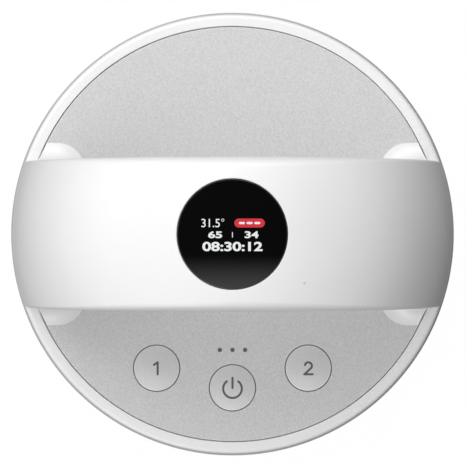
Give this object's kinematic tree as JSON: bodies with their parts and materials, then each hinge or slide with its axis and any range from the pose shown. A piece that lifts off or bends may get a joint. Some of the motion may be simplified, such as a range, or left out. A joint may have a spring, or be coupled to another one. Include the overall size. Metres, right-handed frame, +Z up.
{
  "type": "body contouring device",
  "caption": "Round palm-held body contouring device: a bridge handle with a round display over a silver deck with push buttons, and skin electrodes underneath.",
  "frame": {"origin": "centre of the contact plane of the electrodes, on the axis of the round body", "axes": "+Z up through the display, -Y towards the buttons, +X to the right of someone who looks down with the buttons nearest"},
  "size_m": [0.128, 0.128, 0.08],
  "materials": {
    "white_shell": "fine satin",
    "deck_silver": "fine metallic sparkle",
    "button_silver": "satin",
    "lens_black": "polished",
    "panel_dark": "glossy",
    "electrode_metal": "polished",
    "seal_rubber": "matte",
    "key_silicone": "matte",
    "screw_steel": "zinc plated",
    "sheet_steel": "satin",
    "board_green": "solder mask",
    "flex_amber": "film",
    "chip_black": "matte",
    "coil_copper": "enamelled wire",
    "cap_blue": "sleeve",
    "battery_wrap": "foil pouch",
    "tray_plastic": "matte",
    "plunger_white": "matte",
    "pin_gold": "gold plated",
    "lead_red": "matte"
  },
  "bodies": {
    "casing": {"lower_housing": "white_shell", "upper_housing": "white_shell", "housing_seal": "seal_rubber", "housing_screws": "screw_steel", "deck_plate": "deck_silver", "handle_cover": "white_shell", "handle_grip": "white_shell", "cover_screws": "screw_steel", "screw_plugs": "white_shell", "leg_screws": "screw_steel", "display_lens": "lens_black", "display_gasket": "seal_rubber", "display_panel": "panel_dark", "display_bracket": "sheet_steel", "bracket_screws": "screw_steel", "display_board": "board_green", "display_flex": "flex_amber", "left_key_dome": "key_silicone", "power_key_dome": "key_silicone", "right_key_dome": "key_silicone", "key_board": "board_green", "key_switches": "sheet_steel", "key_board_screws": "screw_steel", "key_link": "chip_black", "treatment_head": "white_shell", "head_gasket": "seal_rubber", "head_screws": "screw_steel", "arc_electrode_1": "electrode_metal", "arc_electrode_2": "electrode_metal", "arc_electrode_3": "electrode_metal", "arc_electrode_4": "electrode_metal", "centre_electrode": "electrode_metal", "temperature_sensor": "electrode_metal", "contact_pins": "pin_gold", "main_board": "board_green", "main_board_screws": "screw_steel", "board_chips": "chip_black", "inductors": "chip_black", "transformer_core": "chip_black", "transformer_coil": "coil_copper", "capacitors": "cap_blue", "buzzer": "chip_black", "battery": "battery_wrap", "battery_tray": "tray_plastic", "battery_pad": "seal_rubber", "battery_leads": "lead_red", "usb_port": "sheet_steel"},
    "left_key": {"left_button": "button_silver", "left_plunger": "plunger_white"},
    "power_key": {"power_button": "button_silver", "power_plunger": "plunger_white"},
    "right_key": {"right_button": "button_silver", "right_plunger": "plunger_white"}
  },
  "joints": [
    {"name": "left_key_press", "type": "slide", "parent": "casing", "child": "left_key", "axis": [0, 0, -1], "range_m": [0, 0.0005], "stiffness_N_per_m": 800, "deforming": ["left_key_dome"]},
    {"name": "power_key_press", "type": "slide", "parent": "casing", "child": "power_key", "axis": [0, 0, -1], "range_m": [0, 0.0005], "stiffness_N_per_m": 800, "deforming": ["power_key_dome"]},
    {"name": "right_key_press", "type": "slide", "parent": "casing", "child": "right_key", "axis": [0, 0, -1], "range_m": [0, 0.0005], "stiffness_N_per_m": 800, "deforming": ["right_key_dome"]}
  ]
}
